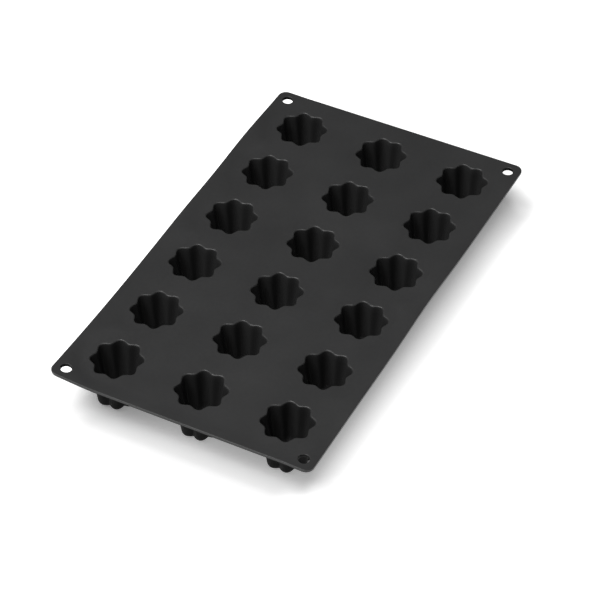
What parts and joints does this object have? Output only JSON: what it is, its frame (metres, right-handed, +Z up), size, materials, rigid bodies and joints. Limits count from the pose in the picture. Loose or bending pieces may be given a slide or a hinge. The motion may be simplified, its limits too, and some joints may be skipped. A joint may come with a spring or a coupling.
{
  "type": "silicone canele mould",
  "caption": "Flexible silicone baking mould: a flat sheet with rows of fluted cups for small caneles, a hanging hole in each corner, flex lines between rows and cup floors that push up.",
  "frame": {"origin": "centre of the surface that the cups stand on, under the middle of the sheet", "axes": "+X across the sheet's short side, +Y along its long side, +Z up out of the cups' mouths"},
  "size_m": [0.175, 0.3, 0.031],
  "materials": {
    "sheet_silicone": "satin",
    "cup_silicone": "satin",
    "floor_silicone": "satin"
  },
  "bodies": {
    "row_1": {"sheet_row_1": "sheet_silicone", "cup_wall_r1_c1": "cup_silicone", "cup_wall_r1_c2": "cup_silicone", "cup_wall_r1_c3": "cup_silicone"},
    "row_2": {"sheet_row_2": "sheet_silicone", "cup_wall_r2_c1": "cup_silicone", "cup_wall_r2_c2": "cup_silicone", "cup_wall_r2_c3": "cup_silicone"},
    "row_3": {"sheet_row_3": "sheet_silicone", "cup_wall_r3_c1": "cup_silicone", "cup_wall_r3_c2": "cup_silicone", "cup_wall_r3_c3": "cup_silicone"},
    "row_4": {"sheet_row_4": "sheet_silicone", "cup_wall_r4_c1": "cup_silicone", "cup_wall_r4_c2": "cup_silicone", "cup_wall_r4_c3": "cup_silicone"},
    "row_5": {"sheet_row_5": "sheet_silicone", "cup_wall_r5_c1": "cup_silicone", "cup_wall_r5_c2": "cup_silicone", "cup_wall_r5_c3": "cup_silicone"},
    "row_6": {"sheet_row_6": "sheet_silicone", "cup_wall_r6_c1": "cup_silicone", "cup_wall_r6_c2": "cup_silicone", "cup_wall_r6_c3": "cup_silicone"},
    "floor_r1_c1": {"cup_floor_r1_c1": "floor_silicone"},
    "floor_r1_c2": {"cup_floor_r1_c2": "floor_silicone"},
    "floor_r1_c3": {"cup_floor_r1_c3": "floor_silicone"},
    "floor_r2_c1": {"cup_floor_r2_c1": "floor_silicone"},
    "floor_r2_c2": {"cup_floor_r2_c2": "floor_silicone"},
    "floor_r2_c3": {"cup_floor_r2_c3": "floor_silicone"},
    "floor_r3_c1": {"cup_floor_r3_c1": "floor_silicone"},
    "floor_r3_c2": {"cup_floor_r3_c2": "floor_silicone"},
    "floor_r3_c3": {"cup_floor_r3_c3": "floor_silicone"},
    "floor_r4_c1": {"cup_floor_r4_c1": "floor_silicone"},
    "floor_r4_c2": {"cup_floor_r4_c2": "floor_silicone"},
    "floor_r4_c3": {"cup_floor_r4_c3": "floor_silicone"},
    "floor_r5_c1": {"cup_floor_r5_c1": "floor_silicone"},
    "floor_r5_c2": {"cup_floor_r5_c2": "floor_silicone"},
    "floor_r5_c3": {"cup_floor_r5_c3": "floor_silicone"},
    "floor_r6_c1": {"cup_floor_r6_c1": "floor_silicone"},
    "floor_r6_c2": {"cup_floor_r6_c2": "floor_silicone"},
    "floor_r6_c3": {"cup_floor_r6_c3": "floor_silicone"}
  },
  "joints": [
    {"name": "flex_2_3", "type": "hinge", "parent": "row_3", "child": "row_2", "pos_m": [0, -0.048, 0.0298], "axis": [-1, 0, 0], "range_deg": [-40, 45], "stiffness_Nm_per_rad": 0.05},
    {"name": "flex_1_2", "type": "hinge", "parent": "row_2", "child": "row_1", "pos_m": [0, -0.096, 0.0298], "axis": [-1, 0, 0], "range_deg": [-40, 45], "stiffness_Nm_per_rad": 0.05},
    {"name": "flex_3_4", "type": "hinge", "parent": "row_3", "child": "row_4", "pos_m": [0, 0, 0.0298], "axis": [1, 0, 0], "range_deg": [-40, 45], "stiffness_Nm_per_rad": 0.05},
    {"name": "flex_4_5", "type": "hinge", "parent": "row_4", "child": "row_5", "pos_m": [0, 0.048, 0.0298], "axis": [1, 0, 0], "range_deg": [-40, 45], "stiffness_Nm_per_rad": 0.05},
    {"name": "flex_5_6", "type": "hinge", "parent": "row_5", "child": "row_6", "pos_m": [0, 0.096, 0.0298], "axis": [1, 0, 0], "range_deg": [-40, 45], "stiffness_Nm_per_rad": 0.05},
    {"name": "push_r1_c1", "type": "slide", "parent": "row_1", "child": "floor_r1_c1", "axis": [0, 0, 1], "range_m": [0, 0.012], "stiffness_N_per_m": 300},
    {"name": "push_r1_c2", "type": "slide", "parent": "row_1", "child": "floor_r1_c2", "axis": [0, 0, 1], "range_m": [0, 0.012], "stiffness_N_per_m": 300},
    {"name": "push_r1_c3", "type": "slide", "parent": "row_1", "child": "floor_r1_c3", "axis": [0, 0, 1], "range_m": [0, 0.012], "stiffness_N_per_m": 300},
    {"name": "push_r2_c1", "type": "slide", "parent": "row_2", "child": "floor_r2_c1", "axis": [0, 0, 1], "range_m": [0, 0.012], "stiffness_N_per_m": 300},
    {"name": "push_r2_c2", "type": "slide", "parent": "row_2", "child": "floor_r2_c2", "axis": [0, 0, 1], "range_m": [0, 0.012], "stiffness_N_per_m": 300},
    {"name": "push_r2_c3", "type": "slide", "parent": "row_2", "child": "floor_r2_c3", "axis": [0, 0, 1], "range_m": [0, 0.012], "stiffness_N_per_m": 300},
    {"name": "push_r3_c1", "type": "slide", "parent": "row_3", "child": "floor_r3_c1", "axis": [0, 0, 1], "range_m": [0, 0.012], "stiffness_N_per_m": 300},
    {"name": "push_r3_c2", "type": "slide", "parent": "row_3", "child": "floor_r3_c2", "axis": [0, 0, 1], "range_m": [0, 0.012], "stiffness_N_per_m": 300},
    {"name": "push_r3_c3", "type": "slide", "parent": "row_3", "child": "floor_r3_c3", "axis": [0, 0, 1], "range_m": [0, 0.012], "stiffness_N_per_m": 300},
    {"name": "push_r4_c1", "type": "slide", "parent": "row_4", "child": "floor_r4_c1", "axis": [0, 0, 1], "range_m": [0, 0.012], "stiffness_N_per_m": 300},
    {"name": "push_r4_c2", "type": "slide", "parent": "row_4", "child": "floor_r4_c2", "axis": [0, 0, 1], "range_m": [0, 0.012], "stiffness_N_per_m": 300},
    {"name": "push_r4_c3", "type": "slide", "parent": "row_4", "child": "floor_r4_c3", "axis": [0, 0, 1], "range_m": [0, 0.012], "stiffness_N_per_m": 300},
    {"name": "push_r5_c1", "type": "slide", "parent": "row_5", "child": "floor_r5_c1", "axis": [0, 0, 1], "range_m": [0, 0.012], "stiffness_N_per_m": 300},
    {"name": "push_r5_c2", "type": "slide", "parent": "row_5", "child": "floor_r5_c2", "axis": [0, 0, 1], "range_m": [0, 0.012], "stiffness_N_per_m": 300},
    {"name": "push_r5_c3", "type": "slide", "parent": "row_5", "child": "floor_r5_c3", "axis": [0, 0, 1], "range_m": [0, 0.012], "stiffness_N_per_m": 300},
    {"name": "push_r6_c1", "type": "slide", "parent": "row_6", "child": "floor_r6_c1", "axis": [0, 0, 1], "range_m": [0, 0.012], "stiffness_N_per_m": 300},
    {"name": "push_r6_c2", "type": "slide", "parent": "row_6", "child": "floor_r6_c2", "axis": [0, 0, 1], "range_m": [0, 0.012], "stiffness_N_per_m": 300},
    {"name": "push_r6_c3", "type": "slide", "parent": "row_6", "child": "floor_r6_c3", "axis": [0, 0, 1], "range_m": [0, 0.012], "stiffness_N_per_m": 300}
  ]
}
